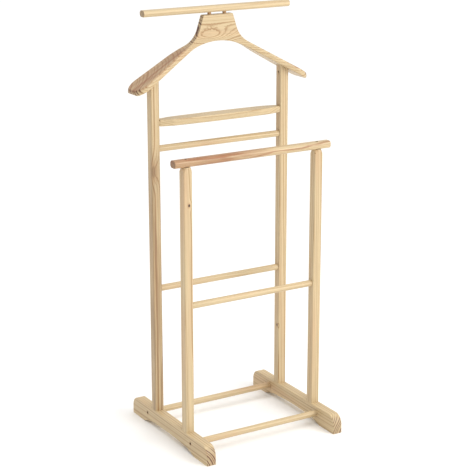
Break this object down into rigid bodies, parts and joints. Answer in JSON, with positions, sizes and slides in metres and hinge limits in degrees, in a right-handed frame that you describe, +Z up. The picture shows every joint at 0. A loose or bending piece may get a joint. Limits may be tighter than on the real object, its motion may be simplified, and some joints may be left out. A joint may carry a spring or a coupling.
{
  "type": "valet stand",
  "caption": "Free-standing pine valet stand with a shaped jacket hanger, a bar above it, a trouser bar in front, cross rods and arched runner feet.",
  "frame": {"origin": "on the floor, in the middle between the four foot pads", "axes": "+X to the right along the hanger's arms, -Y to the front with the trouser bar, +Y to the rear with the hanger, +Z up"},
  "size_m": [0.425, 0.338, 0.923],
  "materials": {
    "pine_frame": "clear satin lacquer on planed pine, grain along each piece",
    "pine_hanger": "clear satin lacquer on flat-sawn pine with an arched growth-ring figure",
    "pine_bars": "clear satin lacquer on pale straight-grained pine",
    "pine_heartwood": "clear satin lacquer on pine with reddish heartwood",
    "pine_rods": "clear satin lacquer on turned pine rod",
    "beech_dowels": "plain turned beech",
    "zinc_screws": "bright zinc-plated, slightly dull"
  },
  "bodies": {
    "root": {"left_foot": "pine_frame", "right_foot": "pine_frame", "rear_left_post": "pine_frame", "rear_right_post": "pine_frame", "front_left_post": "pine_frame", "front_right_post": "pine_frame", "jacket_hanger": "pine_hanger", "top_bar": "pine_bars", "front_bar": "pine_heartwood", "valet_rail": "pine_bars", "upper_rear_rod": "pine_rods", "mid_rear_rod": "pine_rods", "mid_front_rod": "pine_rods", "bottom_rear_rod": "pine_rods", "bottom_front_rod": "pine_rods", "neck_dowel_left": "beech_dowels", "neck_dowel_right": "beech_dowels", "post_dowel_rear_left": "beech_dowels", "foot_screw_rear_left": "zinc_screws", "post_screw_rear_left": "zinc_screws", "post_dowel_rear_right": "beech_dowels", "foot_screw_rear_right": "zinc_screws", "post_screw_rear_right": "zinc_screws", "post_dowel_front_left": "beech_dowels", "foot_screw_front_left": "zinc_screws", "post_screw_front_left": "zinc_screws", "post_dowel_front_right": "beech_dowels", "foot_screw_front_right": "zinc_screws", "post_screw_front_right": "zinc_screws", "bar_screw_left": "zinc_screws", "hanger_screw_left": "zinc_screws", "bar_screw_right": "zinc_screws", "hanger_screw_right": "zinc_screws"}
  },
  "joints": []
}
